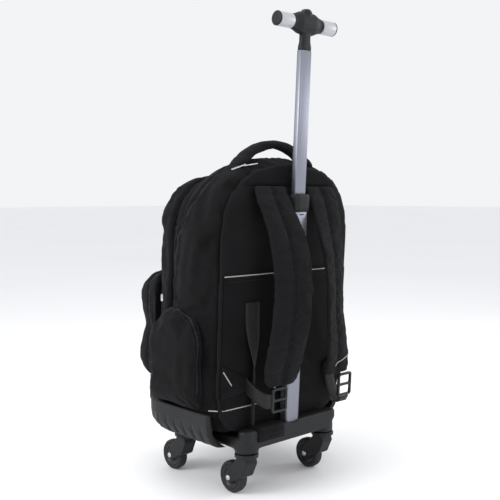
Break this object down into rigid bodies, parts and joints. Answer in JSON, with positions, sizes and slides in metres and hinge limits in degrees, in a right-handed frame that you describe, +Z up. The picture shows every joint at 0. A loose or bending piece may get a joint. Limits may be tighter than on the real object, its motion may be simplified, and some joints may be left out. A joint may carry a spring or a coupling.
{
  "type": "wheeled backpack",
  "caption": "Soft two-compartment backpack with padded shoulder straps, standing on a hard base with swivel casters and a pull-out pole with a T handle",
  "frame": {"origin": "on the floor under the middle of the part's bounding box, with the pole pulled out", "axes": "X to the right seen from the straps' side, Y from the straps to the bag's front, Z up"},
  "size_m": [0.381, 0.3612, 0.8347],
  "materials": {
    "shell_cloth": "near-black plain-woven polyester, faint sheen",
    "padded_cloth": "near-black padded polyester",
    "webbing": "near-black flat-woven webbing",
    "black_plastic": "moulded black plastic, fine grain",
    "caster_tyre": "dark solid tyre, satin",
    "caster_hub": "dark grey moulded hub",
    "aluminium_tube": "satin anodised, slightly cool grey",
    "silver_grip": "silver-grey smooth grip",
    "bright_steel": "bright zinc-plated"
  },
  "bodies": {
    "bag": {"main_compartment": "shell_cloth", "front_compartment": "shell_cloth", "back_panel": "padded_cloth", "back_yoke": "shell_cloth", "back_pocket": "shell_cloth", "side_pocket_left": "shell_cloth", "side_pocket_right": "shell_cloth", "front_pocket": "shell_cloth", "side_guard_left": "black_plastic", "side_guard_right": "black_plastic", "base": "black_plastic", "pole_outer": "aluminium_tube", "pole_collar": "black_plastic", "carry_handle": "padded_cloth", "shoulder_strap_left": "padded_cloth", "shoulder_strap_right": "padded_cloth", "ladder_lock_left": "black_plastic", "ladder_lock_right": "black_plastic", "wing_left": "shell_cloth", "wing_right": "shell_cloth", "strap_webbing_left": "webbing", "strap_webbing_right": "webbing", "tie_ribbon": "webbing", "rail_flap": "shell_cloth", "side_pull_left": "bright_steel", "side_pull_right": "bright_steel", "front_pull": "webbing", "top_pull_rear": "bright_steel", "top_pull_front": "bright_steel"},
    "handle": {"pole_inner": "aluminium_tube", "handle_body": "black_plastic", "grip_left": "silver_grip", "grip_right": "silver_grip", "grip_cap_left": "black_plastic", "grip_cap_right": "black_plastic"},
    "button": {"release_button": "black_plastic"},
    "swivel_rear_left": {"fork_rear_left": "black_plastic", "axle_rear_left": "bright_steel"},
    "wheel_rear_left": {"tyre_rear_left": "caster_tyre", "hub_rear_left": "caster_hub"},
    "swivel_rear_right": {"fork_rear_right": "black_plastic", "axle_rear_right": "bright_steel"},
    "wheel_rear_right": {"tyre_rear_right": "caster_tyre", "hub_rear_right": "caster_hub"},
    "swivel_front_left": {"fork_front_left": "black_plastic", "axle_front_left": "bright_steel"},
    "wheel_front_left": {"tyre_front_left": "caster_tyre", "hub_front_left": "caster_hub"},
    "swivel_front_right": {"fork_front_right": "black_plastic", "axle_front_right": "bright_steel"},
    "wheel_front_right": {"tyre_front_right": "caster_tyre", "hub_front_right": "caster_hub"}
  },
  "joints": [
    {"name": "handle_slide", "type": "slide", "parent": "bag", "child": "handle", "axis": [0, -0.0529, 0.9986], "range_m": [-0.24, 0]},
    {"name": "button_press", "type": "slide", "parent": "handle", "child": "button", "axis": [0, -0.0529, 0.9986], "range_m": [-0.003, 0], "stiffness_N_per_m": 300, "springref_m": 0.001},
    {"name": "swivel_rear_left_turn", "type": "hinge", "parent": "bag", "child": "swivel_rear_left", "pos_m": [-0.097, -0.09596, 0.078], "axis": [0, 0, 1], "continuous": true},
    {"name": "wheel_rear_left_spin", "type": "hinge", "parent": "swivel_rear_left", "child": "wheel_rear_left", "pos_m": [-0.097, -0.06246, 0.028], "axis": [1, 0, 0], "continuous": true},
    {"name": "swivel_rear_right_turn", "type": "hinge", "parent": "bag", "child": "swivel_rear_right", "pos_m": [0.097, -0.09596, 0.078], "axis": [0, 0, 1], "continuous": true},
    {"name": "wheel_rear_right_spin", "type": "hinge", "parent": "swivel_rear_right", "child": "wheel_rear_right", "pos_m": [0.097, -0.06246, 0.028], "axis": [1, 0, 0], "continuous": true},
    {"name": "swivel_front_left_turn", "type": "hinge", "parent": "bag", "child": "swivel_front_left", "pos_m": [-0.097, 0.07104, 0.078], "axis": [0, 0, 1], "continuous": true},
    {"name": "wheel_front_left_spin", "type": "hinge", "parent": "swivel_front_left", "child": "wheel_front_left", "pos_m": [-0.097, 0.10454, 0.028], "axis": [1, 0, 0], "continuous": true},
    {"name": "swivel_front_right_turn", "type": "hinge", "parent": "bag", "child": "swivel_front_right", "pos_m": [0.097, 0.07104, 0.078], "axis": [0, 0, 1], "continuous": true},
    {"name": "wheel_front_right_spin", "type": "hinge", "parent": "swivel_front_right", "child": "wheel_front_right", "pos_m": [0.097, 0.10454, 0.028], "axis": [1, 0, 0], "continuous": true}
  ]
}
